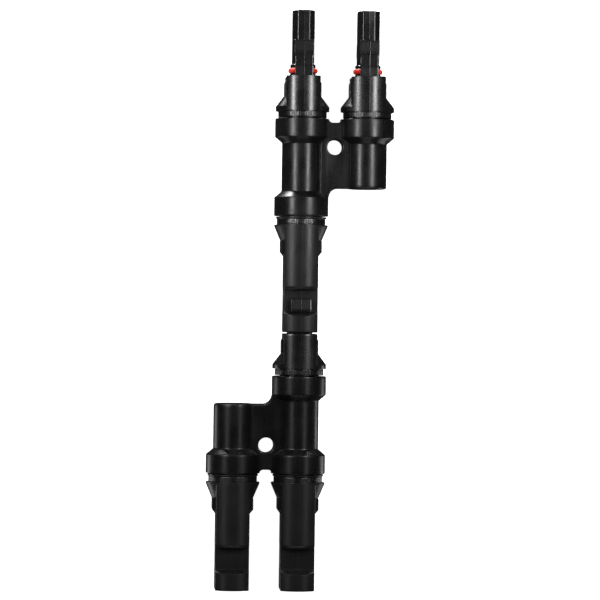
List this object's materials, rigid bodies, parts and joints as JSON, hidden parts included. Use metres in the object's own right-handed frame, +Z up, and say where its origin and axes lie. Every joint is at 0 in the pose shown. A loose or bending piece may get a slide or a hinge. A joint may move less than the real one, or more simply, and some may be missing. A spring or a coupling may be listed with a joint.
{
  "type": "solar cable connector",
  "caption": "Two mated T-branch connectors for solar cable: open latching socket plugs on one end, open pin shells on the other, plugged together in the middle.",
  "frame": {"origin": "on the surface that the pair lies on, under the middle of its box", "axes": "+Y along the legs towards splitter A's socket plugs, +X towards splitter A's side leg, +Z up from the surface"},
  "size_m": [0.0648, 0.2038, 0.019],
  "materials": {
    "body_plastic": "black over-moulded plastic, satin with a fine grain",
    "housing_plastic": "black moulded plastic, matte with a fine grain",
    "sealing_silicone": "red silicone, soft sheen",
    "seal_rubber": "black rubber",
    "tinned_copper": "tin-plated copper, turned",
    "bare_copper": "bare copper, drawn",
    "spring_steel": "stamped spring steel"
  },
  "bodies": {
    "splitter_a": {"splitter_a_body": "body_plastic", "splitter_a_crossbar": "bare_copper", "splitter_a_main_rod": "bare_copper", "splitter_a_side_rod": "bare_copper", "a_main_housing": "housing_plastic", "a_main_oring": "sealing_silicone", "a_main_socket": "tinned_copper", "a_main_contact_sleeve": "spring_steel", "a_main_clip": "spring_steel", "a_main_seal": "seal_rubber", "a_side_housing": "housing_plastic", "a_side_oring": "sealing_silicone", "a_side_socket": "tinned_copper", "a_side_contact_sleeve": "spring_steel", "a_side_clip": "spring_steel", "a_side_seal": "seal_rubber", "a_link_shell": "housing_plastic", "a_link_pin": "tinned_copper", "a_link_clip": "spring_steel", "a_link_seal": "seal_rubber"},
    "splitter_b": {"splitter_b_body": "body_plastic", "splitter_b_crossbar": "bare_copper", "splitter_b_main_rod": "bare_copper", "splitter_b_side_rod": "bare_copper", "b_main_shell": "housing_plastic", "b_main_pin": "tinned_copper", "b_main_clip": "spring_steel", "b_main_seal": "seal_rubber", "b_side_shell": "housing_plastic", "b_side_pin": "tinned_copper", "b_side_clip": "spring_steel", "b_side_seal": "seal_rubber", "b_link_housing": "housing_plastic", "b_link_oring": "sealing_silicone", "b_link_socket": "tinned_copper", "b_link_contact_sleeve": "spring_steel", "b_link_clip": "spring_steel", "b_link_seal": "seal_rubber"},
    "a_main_top_latch": {"a_main_top_latch": "housing_plastic"},
    "a_main_bottom_latch": {"a_main_bottom_latch": "housing_plastic"},
    "a_side_top_latch": {"a_side_top_latch": "housing_plastic"},
    "a_side_bottom_latch": {"a_side_bottom_latch": "housing_plastic"},
    "b_link_top_latch": {"b_link_top_latch": "housing_plastic"},
    "b_link_bottom_latch": {"b_link_bottom_latch": "housing_plastic"}
  },
  "joints": [
    {"name": "unplug", "type": "slide", "parent": "splitter_a", "child": "splitter_b", "axis": [0, -1, 0], "range_m": [0, 0.03], "deforming": ["b_link_top_latch", "b_link_bottom_latch"]},
    {"name": "a_main_top_latch_bend", "type": "hinge", "parent": "splitter_a", "child": "a_main_top_latch", "pos_m": [0, 0.07525, 0.017], "axis": [-1, 0, 0], "range_deg": [0, 4], "stiffness_Nm_per_rad": 0.9},
    {"name": "a_main_bottom_latch_bend", "type": "hinge", "parent": "splitter_a", "child": "a_main_bottom_latch", "pos_m": [0, 0.07525, 0.002], "axis": [1, 0, 0], "range_deg": [0, 4], "stiffness_Nm_per_rad": 0.9},
    {"name": "a_side_top_latch_bend", "type": "hinge", "parent": "splitter_a", "child": "a_side_top_latch", "pos_m": [0.0229, 0.07525, 0.017], "axis": [-1, 0, 0], "range_deg": [0, 4], "stiffness_Nm_per_rad": 0.9},
    {"name": "a_side_bottom_latch_bend", "type": "hinge", "parent": "splitter_a", "child": "a_side_bottom_latch", "pos_m": [0.0229, 0.07525, 0.002], "axis": [1, 0, 0], "range_deg": [0, 4], "stiffness_Nm_per_rad": 0.9},
    {"name": "b_link_top_latch_bend", "type": "hinge", "parent": "splitter_b", "child": "b_link_top_latch", "pos_m": [0, -0.01525, 0.017], "axis": [-1, 0, 0], "range_deg": [0, 4], "stiffness_Nm_per_rad": 0.9},
    {"name": "b_link_bottom_latch_bend", "type": "hinge", "parent": "splitter_b", "child": "b_link_bottom_latch", "pos_m": [0, -0.01525, 0.002], "axis": [1, 0, 0], "range_deg": [0, 4], "stiffness_Nm_per_rad": 0.9}
  ]
}
